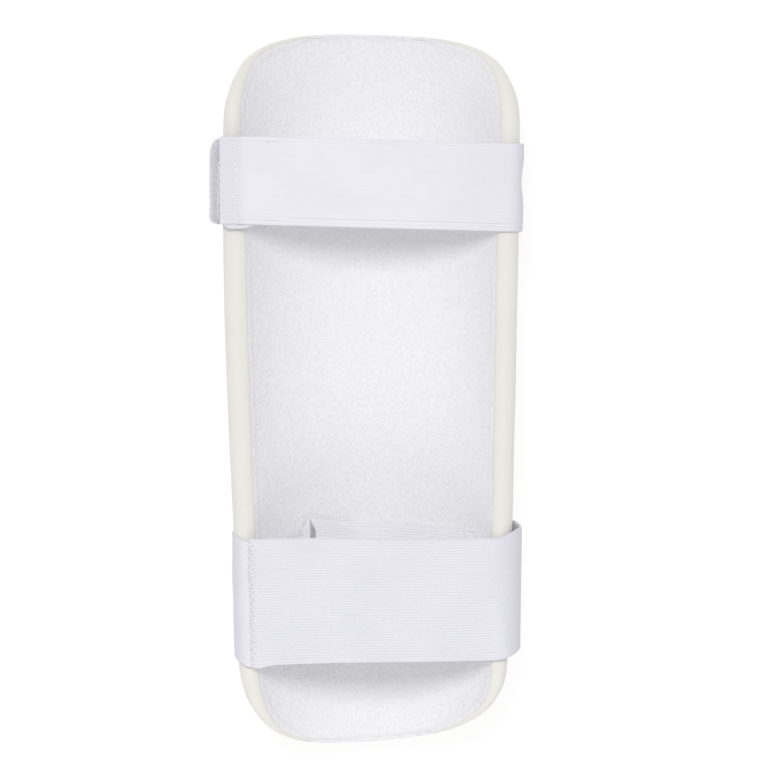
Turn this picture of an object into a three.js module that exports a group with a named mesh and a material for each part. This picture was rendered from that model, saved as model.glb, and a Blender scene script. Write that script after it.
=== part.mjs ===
// Cricket arm guard: a moulded foam trough for the forearm, lined with towelling and held by
// two elastic straps across its open side. Sizes are in millimetres.
// The guard lies on the flat land of its outer face. X runs across it, Y from the wrist to the
// elbow, Z up out of its open side. The origin is the middle of the land.
import * as THREE from 'three';

// The whole guard
const guardLength = 278.3;
const elbowWidth = 116;
const elbowCap = 35.5; // length of the rounded elbow end
const wristCap = 35.5; // length of the rounded wrist end
const elbowSkew = -1.4; // the elbow end's slant, at its right side
const wristSkew = 3.6; // the wrist end's slant, at its right side
const landDepth = 3; // how deep the flat land is cut into the round outer face

// Its wall, from the outer face to the lining's face
const foamMiddle = 11;
const foamEnd = 3; // foam left at the middle of each end
const liningThickness = 1.8;
const seatGap = 0.3; // clearance between two pieces that lie on each other
const wallSlope = THREE.MathUtils.degToRad(64); // slope of the lining beside the rim

// The smooth rim, at the long sides and at the middle of the ends
const rimWidth = 8.2;
const rimRise = 2.6; // its crest over the lining's edge
const rimDrop = 4.5; // its widest point under its crest
const rimEndWidth = 1.2;
const rimEndDrop = 2;
const rimFade = 2.5; // how fast it narrows round the corners

// Straps
const upperStrapWidth = 35;
const upperStrapFromElbow = 60.3; // its centre line, from the elbow end
const upperStrapTilt = 1.3; // rise of its left end and fall of its right end
const upperStrapThickness = 1.4;
const upperStrapOverhang = 1.6; // its left end past the rim
const lowerStrapWidth = 49;
const lowerStrapGathered = 44.5; // its width at the right rim
const lowerStrapFromWrist = 55.7;
const lowerStrapTilt = -1.45;
const lowerStrapThickness = 1.6;
const lowerStrapSlack = 2.4; // how far it bulges off the right wall
const lowerStrapFlare = 1.2; // how much more it bulges at its wrist side
const lowerStrapDrift = 5; // its shift to the elbow as it goes down the right wall
const lowerStrapInset = 5.6; // its left end, from the outside of the left rim
const strapEndAngle = THREE.MathUtils.degToRad(31); // where straps end on the outer face

// Wrap round the left rim, which the lower strap is sewn to
const wrapWidth = 47.5;
const wrapThickness = 1.2;
const wrapInset = 15; // its inner end, from the outside of the left rim
const wrapDrift = 8; // its shift to the elbow as it goes down the left wall

// Hook tab of the upper strap and the loop patch that it closes on
const tabWidth = 32.8;
const tabThickness = 1.6;
const tabInset = 12.5;
const tabBulge = 5.2; // how far it stands off the left wall
const tabSlant = 2.6; // how much less it bulges at its elbow side
const tabBulgeEnd = 0.6; // where the bulge ends, as a share of the way down the wall
const tabEndAngle = THREE.MathUtils.degToRad(36);
const patchWidth = 40;
const patchThickness = 1.2;
const patchEndAngle = THREE.MathUtils.degToRad(29);
const patchStartAngle = THREE.MathUtils.degToRad(60);

// Band that lies on the lining under the lower strap, with a thin tab under its left end
const bandThickness = 1.6;
const bandLift = 2; // how far its left end is lifted off the tab
const bandLiftRun = 22; // length of the lifted part
const bandTop = 86.3; // its elbow edge, from the wrist end
const bandWidth = 45;
const bandInset = 21.2; // its left end, from the inside of the left rim
const bandEndGap = 1.2; // its right end, from the inside of the right rim
const innerTabThickness = 1;
const innerTabInset = 1.4; // its left end, from the inside of the left rim
const innerTabTuck = 11; // how far it goes under the band
const innerTabWidth = 36;
const innerTabDrop = 2.7; // how far its elbow edge lies inside the band's, under the band
const innerTabSlant = 6.8; // how much further inside it lies at its left end

// Half widths as shares of half the elbow width, and the rims as shares of the rim's width;
// along is a share of the length
const sideTable = [
  { along: -0.5, left: 0.885, right: 0.89, leftRim: 0.9, rightRim: 0.7 },
  { along: -0.41, left: 0.9, right: 0.905, leftRim: 0.95, rightRim: 0.8 },
  { along: -0.3, left: 0.906, right: 0.922, leftRim: 1, rightRim: 0.95 },
  { along: -0.2, left: 0.93, right: 0.942, leftRim: 1.04, rightRim: 1 },
  { along: -0.15, left: 0.941, right: 0.951, leftRim: 1.05, rightRim: 1 },
  { along: -0.07, left: 0.962, right: 0.958, leftRim: 1.08, rightRim: 1.02 },
  { along: 0.01, left: 0.976, right: 0.969, leftRim: 1.1, rightRim: 1.04 },
  { along: 0.12, left: 0.995, right: 0.977, leftRim: 1.12, rightRim: 1.05 },
  { along: 0.2, left: 0.998, right: 0.984, leftRim: 1.08, rightRim: 1.04 },
  { along: 0.29, left: 1, right: 0.99, leftRim: 0.94, rightRim: 1 },
  { along: 0.37, left: 1, right: 0.998, leftRim: 0.82, rightRim: 0.96 },
  { along: 0.5, left: 1, right: 0.998, leftRim: 0.75, rightRim: 0.9 },
];

// Rounded ends: exponents of the superelliptic corners, across and along the guard
const elbowEnd = { cap: elbowCap, skew: elbowSkew, across: 3.4, along: 2.1, towards: 1 };
const wristEnd = { cap: wristCap, skew: wristSkew, across: 3.6, along: 2.15, towards: -1 };

// The fall of the band's elbow edge as a share of its width, against the share of its length
const bandEdge = [
  { along: 0, drop: 0 },
  { along: 0.5, drop: 0.02 },
  { along: 0.84, drop: 0.08 },
  { along: 0.93, drop: 0.125 },
  { along: 1, drop: 0.19 },
];

// Fineness of the facets
const sideSteps = 14;
const capSteps = 18;
const rimSteps = 8;
const strapLanes = 4;
const shelfSteps = 3;
const spanSteps = 8;
const endSteps = 3;
const bandSteps = 20;
const tabSteps = 10;
const rimTurns = 4;
const wallTurns = 8;
const samePoint = 1e-5; // distance of points that count as one

// Places of the facets' rings, as shares of the way out from the middle line
const troughRings = [0, 0.22, 0.42, 0.6, 0.75, 0.88, 1];
const outerRings = [0.985, 0.955, 0.91, 0.85, 0.77, 0.67, 0.55, 0.42, 0.325, 0.16, 0];

// Signs of x on the two sides
const left = -1;
const right = 1;

// Worked out from the sizes
const halfLength = guardLength / 2;
const liningFloor = foamMiddle + seatGap + liningThickness;
const endLift = foamMiddle - foamEnd;

// A smooth curve through one column of a table
function columnCurve(rows, column) {
  const places = rows.map((row) => row.along);
  const values = rows.map((row) => row[column]);
  const curve = new THREE.CubicInterpolant(places, values, 1);
  return (along) => curve.evaluate(along)[0];
}

const leftShare = columnCurve(sideTable, 'left');
const rightShare = columnCurve(sideTable, 'right');
const leftRimShare = columnCurve(sideTable, 'leftRim');
const rightRimShare = columnCurve(sideTable, 'rightRim');
const bandDrop = columnCurve(bandEdge, 'drop');

function sideWidth(side, y) {
  const share = side < 0 ? leftShare : rightShare;
  return (elbowWidth / 2) * share(y / guardLength);
}

function sideRim(side, y) {
  const share = side < 0 ? leftRimShare : rightRimShare;
  return rimWidth * share(y / guardLength);
}

// The arcs of one wall at y: the lining's face and the outer face, both level at the middle
function wallSection(side, y) {
  const width = sideWidth(side, y);
  const rim = sideRim(side, y);
  const innerRadius = (width - rim) / Math.sin(wallSlope);
  const rimTop = liningFloor + innerRadius * (1 - Math.cos(wallSlope)) + rimRise;
  const widestHeight = rimTop - rimDrop + landDepth;
  const outerRadius = (width ** 2 + widestHeight ** 2) / (2 * widestHeight);
  return { width, rim, innerRadius, rimTop, outerRadius };
}

// Height of the trough at a depth under the lining's face
function troughHeight(x, y, depth) {
  const { innerRadius } = wallSection(x, y);
  return liningFloor + innerRadius - Math.sqrt((innerRadius + depth) ** 2 - x ** 2);
}

// Height of the outer face, with its flat land and its rise to the thin ends
function outerHeight(x, y) {
  const { outerRadius } = wallSection(x, y);
  const cap = y < 0 ? wristCap : elbowCap;
  const endShare = Math.max(0, Math.abs(y) - halfLength + cap) / cap;
  const arc = outerRadius - Math.sqrt(outerRadius ** 2 - x ** 2);
  return Math.max(0, arc - landDepth + endLift * endShare ** 2);
}

// A closed body from points and four-cornered faces; points that meet become one
class Body {
  constructor() {
    this.known = new Map();
    this.positions = [];
    this.triangles = [];
  }

  point({ x, y, z }) {
    const key = [x, y, z].map((value) => Math.round(value / samePoint)).join(' ');
    if (!this.known.has(key)) {
      this.known.set(key, this.known.size);
      this.positions.push(x, y, z);
    }
    return this.known.get(key);
  }

  triangle(a, b, c) {
    if (a !== b && b !== c && c !== a) this.triangles.push(a, b, c);
  }

  distance(a, b) {
    const place = (mark) => new THREE.Vector3().fromArray(this.positions, 3 * mark);
    return place(a).distanceTo(place(b));
  }

  // Two triangles that meet on the shorter diagonal
  quad(a, b, c, d) {
    if (this.distance(a, c) <= this.distance(b, d)) {
      this.triangle(a, b, c);
      this.triangle(a, c, d);
    } else {
      this.triangle(a, b, d);
      this.triangle(b, c, d);
    }
  }

  geometry() {
    const geometry = new THREE.BufferGeometry();
    geometry.setAttribute('position', new THREE.Float32BufferAttribute(this.positions, 3));
    geometry.setIndex(this.triangles);
    geometry.computeVertexNormals();
    return geometry;
  }
}

// Rings of the same count, from one closed middle line to another
function ringBody(rings) {
  const body = new Body();
  const marks = rings.map((ring) => ring.map((place) => body.point(place)));
  for (let row = 1; row < marks.length; row += 1) {
    const inner = marks[row - 1];
    const outer = marks[row];
    inner.forEach((mark, index) => {
      const next = (index + 1) % inner.length;
      body.quad(mark, outer[index], outer[next], inner[next]);
    });
  }
  return body.geometry();
}

// A strip between an underside and an upper side: lanes of points with their outward directions
function stripBody(lanes, thickness) {
  const body = new Body();
  const lift = ({ place, outward }) => place.clone().addScaledVector(outward, thickness);
  const under = lanes.map((lane) => lane.map(({ place }) => body.point(place)));
  const over = lanes.map((lane) => lane.map((station) => body.point(lift(station))));
  const lastLane = lanes.length - 1;
  const lastStation = lanes[0].length - 1;
  for (let lane = 0; lane < lastLane; lane += 1) {
    for (let station = 0; station < lastStation; station += 1) {
      const next = station + 1;
      body.quad(over[lane][station], over[lane][next], over[lane + 1][next], over[lane + 1][station]);
      body.quad(under[lane][station], under[lane + 1][station], under[lane + 1][next], under[lane][next]);
    }
    body.quad(under[lane][0], over[lane][0], over[lane + 1][0], under[lane + 1][0]);
    const end = lastStation;
    body.quad(under[lane][end], under[lane + 1][end], over[lane + 1][end], over[lane][end]);
  }
  for (let station = 0; station < lastStation; station += 1) {
    const next = station + 1;
    const last = lastLane;
    body.quad(under[0][station], under[0][next], over[0][next], over[0][station]);
    body.quad(under[last][station], over[last][station], over[last][next], under[last][next]);
  }
  return body.geometry();
}

// Outline of one rounded end, from one side to the other
function capOutline(end) {
  const start = end.towards * (halfLength - end.cap);
  const points = [];
  for (let step = 1; step < capSteps; step += 1) {
    const angle = (Math.PI * step) / capSteps;
    const side = end.towards * Math.sign(Math.cos(angle));
    const along = Math.sin(angle) ** (2 / end.along);
    const across = Math.abs(Math.cos(angle)) ** (2 / end.across);
    const y = start + end.towards * end.cap * along;
    const x = side * across * sideWidth(side, y);
    points.push({ x, y: y + end.skew * side * across * along ** 2, spine: start });
  }
  return points;
}

// The guard's outline seen from above, anticlockwise, with its outward directions
function guardOutline() {
  const wristStart = wristCap - halfLength;
  const elbowStart = halfLength - elbowCap;
  const rows = Array.from({ length: sideSteps + 1 }, (_, step) => {
    return THREE.MathUtils.lerp(wristStart, elbowStart, step / sideSteps);
  });
  const sidePoint = (side) => (y) => ({ x: side * sideWidth(side, y), y, spine: y });
  const points = [
    ...rows.map(sidePoint(right)),
    ...capOutline(elbowEnd),
    ...rows.reverse().map(sidePoint(left)),
    ...capOutline(wristEnd),
  ];
  return points.map((point, index) => {
    const before = points.at(index - 1);
    const after = points[(index + 1) % points.length];
    const outward = new THREE.Vector2(after.y - before.y, before.x - after.x).normalize();
    const fade = Math.abs(outward.x) ** rimFade;
    const band = THREE.MathUtils.lerp(rimEndWidth, sideRim(point.x, point.y), fade);
    return { ...point, outward, fade, band };
  });
}

const outline = guardOutline();

// The outline moved inwards by a distance, and then a share of the way out from the middle line
function ringPlan(inset, share) {
  return outline.map((point) => {
    const distance = inset(point);
    const x = point.x - point.outward.x * distance;
    const y = point.y - point.outward.y * distance;
    return { x: x * share, y: point.spine + (y - point.spine) * share };
  });
}

function ringAtHeight(inset, share, height) {
  return ringPlan(inset, share).map(({ x, y }) => ({ x, y, z: height(x, y) }));
}

function foamShell() {
  const foamDepth = liningThickness + seatGap;
  const foamFace = (x, y) => troughHeight(x, y, foamDepth);
  const rings = troughRings.map((share) => ringAtHeight((point) => point.band, share, foamFace));
  const liningEdge = ringAtHeight((point) => point.band, 1, (x, y) => troughHeight(x, y, 0));
  for (let step = 0; step <= rimSteps; step += 1) {
    const angle = Math.PI * (1 - step / rimSteps);
    const reach = Math.cos(angle);
    const fall = 1 - Math.sin(angle);
    const plan = ringPlan((point) => (point.band / 2) * (1 - reach), 1);
    rings.push(plan.map(({ x, y }, index) => {
      const { band, fade } = outline[index];
      const rise = rimRise * Math.min(1, band / sideRim(x, y));
      const drop = reach < 0 ? rise : THREE.MathUtils.lerp(rimEndDrop, rimDrop, fade);
      return { x, y, z: liningEdge[index].z + rise - drop * fall };
    }));
  }
  outerRings.forEach((share) => rings.push(ringAtHeight(() => 0, share, outerHeight)));
  return ringBody(rings);
}

function lining() {
  const inset = (point) => point.band + seatGap;
  const face = (x, y) => troughHeight(x, y, 0);
  const back = (x, y) => troughHeight(x, y, liningThickness);
  const faceRings = troughRings.map((share) => ringAtHeight(inset, share, face));
  const backRings = troughRings.map((share) => ringAtHeight(inset, share, back));
  return ringBody([...faceRings, ...backRings.reverse()]);
}

function station(x, y, z, outward) {
  return { place: new THREE.Vector3(x, y, z), outward };
}

// Stations down the outside of a wall, from the rim's crest to an angle of the outer face
function outsideStations(side, y, endAngle) {
  const { width, rim, rimTop, outerRadius } = wallSection(side, y);
  const crest = rim / 2;
  const stations = [];
  for (let turn = 0; turn < rimTurns; turn += 1) {
    const angle = (Math.PI / 2) * (1 - turn / rimTurns);
    const x = width - crest * (1 - Math.cos(angle));
    const z = rimTop - rimDrop * (1 - Math.sin(angle));
    const outward = new THREE.Vector3((side * Math.cos(angle)) / crest, 0, Math.sin(angle) / rimDrop);
    stations.push(station(side * x, y, z, outward.normalize()));
  }
  const widestAngle = Math.asin(width / outerRadius);
  for (let turn = 0; turn <= wallTurns; turn += 1) {
    const angle = THREE.MathUtils.lerp(widestAngle, endAngle, turn / wallTurns);
    const x = outerRadius * Math.sin(angle);
    const z = outerRadius * (1 - Math.cos(angle)) - landDepth;
    stations.push(station(side * x, y, z, new THREE.Vector3(side * Math.sin(angle), 0, -Math.cos(angle))));
  }
  return stations;
}

// The same stations moved off the wall by a clearance that depends on the share of the way down
function standOff(stations, clearance) {
  const last = stations.length - 1;
  return stations.map(({ place, outward }, index) => {
    return { place: place.clone().addScaledVector(outward, clearance(index / last)), outward };
  });
}

// Shifts stations more and more along the guard on their way down the wall
function driftAlong(stations, drift) {
  stations.forEach(({ place }, index) => {
    place.y += drift * Math.sin(((Math.PI / 2) * index) / (stations.length - 1));
  });
}

// Level stations from one place up to, and without, another
function spanStations(from, to, steps) {
  const up = new THREE.Vector3(0, 0, 1);
  return Array.from({ length: steps }, (_, step) => {
    return { place: from.clone().lerp(to, step / steps), outward: up };
  });
}

// A strap's stations over the open side: level from its start over what lies under it, then on
// to the crest of the right rim
function crossStations(start, shelf, crest) {
  const shelfEnd = start.clone().setX(start.x + shelf);
  return [...spanStations(start, shelfEnd, shelfSteps), ...spanStations(shelfEnd, crest, spanSteps)];
}

function laneShares() {
  return Array.from({ length: strapLanes + 1 }, (_, lane) => lane / strapLanes);
}

const upperStrapMiddle = halfLength - upperStrapFromElbow;
const lowerStrapMiddle = lowerStrapFromWrist - halfLength;
const tabUnder = 2 * seatGap + tabThickness; // height of the upper strap over the left rim
const wrapUnder = 2 * seatGap + wrapThickness; // height of the lower strap over the left rim

function upperStrap() {
  const lanes = laneShares().map((share) => {
    const offset = upperStrapWidth * (share - 0.5);
    const leftY = upperStrapMiddle + upperStrapTilt + offset;
    const rightY = upperStrapMiddle - upperStrapTilt + offset;
    const leftWall = wallSection(left, leftY);
    const leftX = -leftWall.width - upperStrapOverhang;
    const start = new THREE.Vector3(leftX, leftY, leftWall.rimTop + tabUnder);
    const wrapped = standOff(outsideStations(right, rightY, strapEndAngle), () => seatGap);
    const shelf = upperStrapOverhang + tabInset + seatGap;
    return [...crossStations(start, shelf, wrapped[0].place), ...wrapped];
  });
  return stripBody(lanes, upperStrapThickness);
}

function hookTab() {
  const onPatch = 2 * seatGap + patchThickness;
  const lanes = laneShares().map((share) => {
    const y = upperStrapMiddle + upperStrapTilt + tabWidth * (share - 0.5);
    const bulge = tabBulge - tabSlant * share - onPatch;
    const clearance = (down) => {
      const past = Math.min(1, down / tabBulgeEnd);
      return THREE.MathUtils.lerp(seatGap, onPatch, past) + bulge * Math.sin(Math.PI * past) ** 2;
    };
    const wrapped = standOff(outsideStations(left, y, tabEndAngle), clearance);
    const crest = wrapped[0].place;
    const start = new THREE.Vector3(-sideWidth(left, y) + tabInset, y, crest.z);
    return [...spanStations(start, crest, endSteps), ...wrapped].reverse();
  });
  return stripBody(lanes, tabThickness);
}

function loopPatch() {
  const lanes = laneShares().map((share) => {
    const y = upperStrapMiddle + upperStrapTilt + patchWidth * (share - 0.5);
    const { outerRadius } = wallSection(left, y);
    return Array.from({ length: wallTurns + 1 }, (_, turn) => {
      const angle = THREE.MathUtils.lerp(patchEndAngle, patchStartAngle, turn / wallTurns);
      const outward = new THREE.Vector3(-Math.sin(angle), 0, -Math.cos(angle));
      const middle = new THREE.Vector3(0, y, outerRadius - landDepth);
      return { place: middle.addScaledVector(outward, outerRadius + seatGap), outward };
    });
  });
  return stripBody(lanes, patchThickness);
}

function lowerStrap() {
  const lanes = laneShares().map((share) => {
    const leftY = lowerStrapMiddle + lowerStrapTilt + lowerStrapWidth * (share - 0.5);
    const rightY = lowerStrapMiddle - lowerStrapTilt + lowerStrapGathered * (share - 0.5);
    const leftWall = wallSection(left, leftY);
    const leftX = -leftWall.width + lowerStrapInset;
    const start = new THREE.Vector3(leftX, leftY, leftWall.rimTop + wrapUnder);
    const slack = lowerStrapSlack + lowerStrapFlare * (1 - share);
    const clearance = (down) => seatGap + slack * Math.sin(Math.PI * down);
    const wrapped = standOff(outsideStations(right, rightY, strapEndAngle), clearance);
    driftAlong(wrapped, lowerStrapDrift);
    const shelf = wrapInset - lowerStrapInset + seatGap;
    return [...crossStations(start, shelf, wrapped[0].place), ...wrapped];
  });
  return stripBody(lanes, lowerStrapThickness);
}

function lowerWrap() {
  const lanes = laneShares().map((share) => {
    const y = lowerStrapMiddle + lowerStrapTilt + wrapWidth * (share - 0.5);
    const wrapped = standOff(outsideStations(left, y, strapEndAngle), () => seatGap);
    driftAlong(wrapped, wrapDrift);
    const crest = wrapped[0].place;
    const start = new THREE.Vector3(-sideWidth(left, y) + wrapInset, y, crest.z);
    return [...spanStations(start, crest, endSteps), ...wrapped].reverse();
  });
  return stripBody(lanes, wrapThickness);
}

// A station over the lining's face, with the direction square to it
function liningStation(x, y, clearance) {
  const { innerRadius } = wallSection(x, y);
  const z = troughHeight(x, y, 0);
  const outward = new THREE.Vector3(-x, 0, liningFloor + innerRadius - z).normalize();
  return { place: new THREE.Vector3(x, y, z).addScaledVector(outward, clearance), outward };
}

const bandTopY = bandTop - halfLength;
const underBand = 2 * seatGap + innerTabThickness; // height of the band over the lining on its tab

// Place on the lining at a distance from the inside of the rim
function insideRim(side, y, distance) {
  return side * (sideWidth(side, y) - sideRim(side, y) - distance);
}

function innerBand() {
  const lanes = laneShares().map((share) => {
    return Array.from({ length: bandSteps + 1 }, (_, step) => {
      const along = step / bandSteps;
      const topY = bandTopY - bandWidth * bandDrop(along);
      const bottomY = bandTopY - bandWidth * (1 + bandDrop(along) / 2);
      const y = THREE.MathUtils.lerp(bottomY, topY, share);
      const startX = insideRim(left, y, bandInset);
      const x = THREE.MathUtils.lerp(startX, insideRim(right, y, bandEndGap), along);
      const lifted = THREE.MathUtils.smootherstep(1 - (x - startX) / bandLiftRun, 0, 1);
      return liningStation(x, y, THREE.MathUtils.lerp(seatGap, underBand + bandLift, lifted));
    });
  });
  return stripBody(lanes, bandThickness);
}

function innerTab() {
  const lanes = laneShares().map((share) => {
    return Array.from({ length: tabSteps + 1 }, (_, step) => {
      const along = step / tabSteps;
      const topY = bandTopY - innerTabDrop - innerTabSlant * (1 - along);
      const y = topY - innerTabWidth * (1 - share);
      const startX = insideRim(left, y, innerTabInset);
      const endX = insideRim(left, y, bandInset + innerTabTuck);
      return liningStation(THREE.MathUtils.lerp(startX, endX, along), y, seatGap);
    });
  });
  return stripBody(lanes, innerTabThickness);
}

// One surface for each stuff that the guard is made of
const creamSkin = { color: 0xeeeee8, roughness: 0.55, metalness: 0 };
const towelling = { color: 0xf0eff4, roughness: 1, metalness: 0 };
const whiteElastic = { color: 0xebeaf1, roughness: 0.8, metalness: 0 };
const hookTape = { color: 0xcecdd3, roughness: 0.9, metalness: 0 };
const loopTape = { color: 0xe4e3e8, roughness: 1, metalness: 0 };

function piece(name, geometry, finish) {
  const mesh = new THREE.Mesh(geometry, new THREE.MeshStandardMaterial(finish));
  mesh.name = name;
  return mesh;
}

const armGuard = new THREE.Group();
armGuard.name = 'arm_guard';
armGuard.add(
  piece('foam_shell', foamShell(), creamSkin),
  piece('lining', lining(), towelling),
  piece('upper_strap', upperStrap(), whiteElastic),
  piece('hook_tab', hookTab(), hookTape),
  piece('loop_patch', loopPatch(), loopTape),
  piece('lower_strap', lowerStrap(), whiteElastic),
  piece('lower_wrap', lowerWrap(), whiteElastic),
  piece('inner_band', innerBand(), whiteElastic),
  piece('inner_tab', innerTab(), hookTape),
);

export default armGuard;
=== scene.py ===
# A forearm guard for cricket: a moulded foam trough lined with towelling, and elastic straps
# across its open side. It lies on its outer face. Metres, in the frame of the CAD model.
import math

import bmesh
import bpy
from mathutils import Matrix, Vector, geometry, kdtree, noise
from mathutils.bvhtree import BVHTree


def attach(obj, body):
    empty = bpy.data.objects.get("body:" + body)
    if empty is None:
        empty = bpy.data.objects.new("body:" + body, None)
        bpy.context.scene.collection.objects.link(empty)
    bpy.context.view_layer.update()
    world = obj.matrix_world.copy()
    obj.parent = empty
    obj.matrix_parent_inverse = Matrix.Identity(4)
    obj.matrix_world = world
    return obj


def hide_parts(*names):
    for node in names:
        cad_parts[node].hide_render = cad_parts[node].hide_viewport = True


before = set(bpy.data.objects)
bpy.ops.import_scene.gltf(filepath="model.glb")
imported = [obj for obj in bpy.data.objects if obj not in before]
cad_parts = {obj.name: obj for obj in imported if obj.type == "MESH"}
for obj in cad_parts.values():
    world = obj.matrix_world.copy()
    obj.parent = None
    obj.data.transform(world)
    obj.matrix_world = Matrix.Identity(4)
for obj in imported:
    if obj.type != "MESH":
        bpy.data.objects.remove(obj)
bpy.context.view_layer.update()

mm = 0.001


def ease(value, start, end):
    share = min(1, max(0, (value - start) / (end - start)))
    return share * share * (3 - 2 * share)


def bump(value, middle, spread):
    return math.exp(-(((value - middle) / spread) ** 2))


# Camera: straight down into the trough, from far off, as the picture is taken
view = {
    "distance": 3.5, "height": 44 * mm, "middle": (4.7 * mm, 1.7 * mm), "pixel": 0.39 * mm, "pixels": 768,
}

cameraData = bpy.data.cameras.new("camera")
cameraData.lens = cameraData.sensor_width * view["distance"] / (view["pixels"] * view["pixel"])
cameraData.clip_start = 0.1
cameraData.clip_end = 30
camera = bpy.data.objects.new("camera", cameraData)
camera.location = (*view["middle"], view["height"] + view["distance"])
bpy.context.scene.collection.objects.link(camera)
bpy.context.scene.camera = camera


def linear(hexColour):
    parts = [int(hexColour[place:place + 2], 16) / 255 for place in (0, 2, 4)]
    return (*((part / 12.92 if part < 0.04045 else ((part + 0.055) / 1.055) ** 2.4) for part in parts), 1)


def mainOutput(node):
    # every Mix here mixes colours, which come out of its third socket
    return node.outputs[2 if node.type == "MIX" else 0]


def addNode(tree, kind, inputs=None, **settings):
    # an input is a value, a socket to link, or a node whose main output is linked
    node = tree.nodes.new("ShaderNode" + kind)
    for name, value in settings.items():
        setattr(node, name, value)
    for socket, value in (inputs or {}).items():
        if isinstance(value, bpy.types.Node):
            value = mainOutput(value)
        if isinstance(value, bpy.types.NodeSocket):
            tree.links.new(value, node.inputs[socket])
        else:
            node.inputs[socket].default_value = value
    return node


def newMaterial(name, inputs):
    material = bpy.data.materials.new(name)
    material.use_nodes = True
    tree = material.node_tree
    tree.nodes.clear()
    shader = addNode(tree, "BsdfPrincipled", inputs)
    addNode(tree, "OutputMaterial", {"Surface": shader.outputs["BSDF"]})
    return material, tree, shader


def finishSurface(tree, shader, colour, uneven, roughness, height, depth):
    # gives the shader the nodes' colour and relief, and a roughness that follows the uneven one from
    # the first to the second value; depth is the relief's full height
    rough = addNode(tree, "MapRange", {
        "Value": uneven, "From Min": 0.3, "From Max": 0.7, "To Min": roughness[0], "To Max": roughness[1]})
    relief = addNode(tree, "Bump", {"Strength": 1, "Distance": depth, "Height": height})
    tree.links.new(mainOutput(colour), shader.inputs["Base Color"])
    tree.links.new(rough.outputs["Result"], shader.inputs["Roughness"])
    tree.links.new(relief.outputs["Normal"], shader.inputs["Normal"])


# Studio: an opal table lit from inside, a large soft key from the elbow end, a small fill low at
# the wrist end and a white room
studio = {
    "table": "898989", "tableGlow": 0.78, "tableReach": 6, "tableDrop": 0.3 * mm, "room": 0.57,
    "lamps": {
        "key": {"from": (-0.24, 0.92, 2.65), "size": 0.85, "power": 28.8},
        "fill": {"from": (0, -0.5, 0.34), "size": 0.3, "power": 0.56},
    },
}


def buildStudio():
    scene = bpy.context.scene
    scene.view_settings.view_transform = "Standard"
    room = bpy.data.worlds.new("room")
    room.use_nodes = True
    room.node_tree.nodes["Background"].inputs["Color"].default_value = (1, 1, 1, 1)
    room.node_tree.nodes["Background"].inputs["Strength"].default_value = studio["room"]
    scene.world = room

    mesh = bpy.data.meshes.new("table")
    bm = bmesh.new()
    bmesh.ops.create_grid(bm, x_segments=1, y_segments=1, size=studio["tableReach"])
    bmesh.ops.translate(bm, verts=bm.verts, vec=(0, 0, -studio["tableDrop"]))
    bm.to_mesh(mesh)
    bm.free()
    table = bpy.data.objects.new("table", mesh)
    scene.collection.objects.link(table)
    mesh.materials.append(newMaterial("opal_table", {
        "Base Color": linear(studio["table"]), "Roughness": 0.7, "Specular IOR Level": 0.2,
        "Emission Color": (1, 1, 1, 1), "Emission Strength": studio["tableGlow"],
    })[0])

    for name, kept in studio["lamps"].items():
        light = bpy.data.lights.new(name, "AREA")
        light.energy = kept["power"]
        light.size = kept["size"]
        lamp = bpy.data.objects.new(name, light)
        lamp.location = kept["from"]
        lamp.rotation_euler = (-Vector(kept["from"])).to_track_quat("-Z", "Y").to_euler()
        lamp.visible_camera = False
        scene.collection.objects.link(lamp)


buildStudio()
print("camera and studio ready")


# Materials
def skinnedFoam():
    # Polyurethane foam moulded against a coated tool: a closed satin skin, warm white and a
    # little yellowed, with a faint pebble and soft mottling
    material, tree, shader = newMaterial("skinned_foam", {"IOR": 1.48, "Specular IOR Level": 0.35})
    place = addNode(tree, "TexCoord").outputs["Object"]
    mottle = addNode(tree, "TexNoise", {"Vector": place, "Scale": 38, "Detail": 3, "Roughness": 0.6})
    pebble = addNode(tree, "TexNoise", {"Vector": place, "Scale": 950, "Detail": 2, "Roughness": 0.5})
    dents = addNode(tree, "TexNoise", {"Vector": place, "Scale": 120, "Detail": 2})
    specks = addNode(tree, "TexVoronoi", {"Vector": place, "Scale": 130})
    speck = addNode(tree, "MapRange", {
        "Value": specks, "From Min": 0.03, "From Max": 0.09, "To Min": 1, "To Max": 0})
    rare = addNode(tree, "MapRange", {
        "Value": mottle, "From Min": 0.55, "From Max": 0.7, "To Min": 0, "To Max": 0.35})
    speckShare = addNode(tree, "Math", {0: speck, 1: rare}, operation="MULTIPLY")
    warm = addNode(tree, "Mix", {0: mottle, 6: linear("eeede9"), 7: linear("e7e6df")}, data_type="RGBA")
    colour = addNode(tree, "Mix", {0: speckShare, 6: warm, 7: linear("c9c6b6")}, data_type="RGBA")
    fine = addNode(tree, "Math", {0: pebble, 1: 0.35}, operation="MULTIPLY")
    height = addNode(tree, "Math", {0: dents, 1: fine}, operation="ADD")
    finishSurface(tree, shader, colour, dents, (0.42, 0.6), height, 0.12 * mm)
    return material


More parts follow.
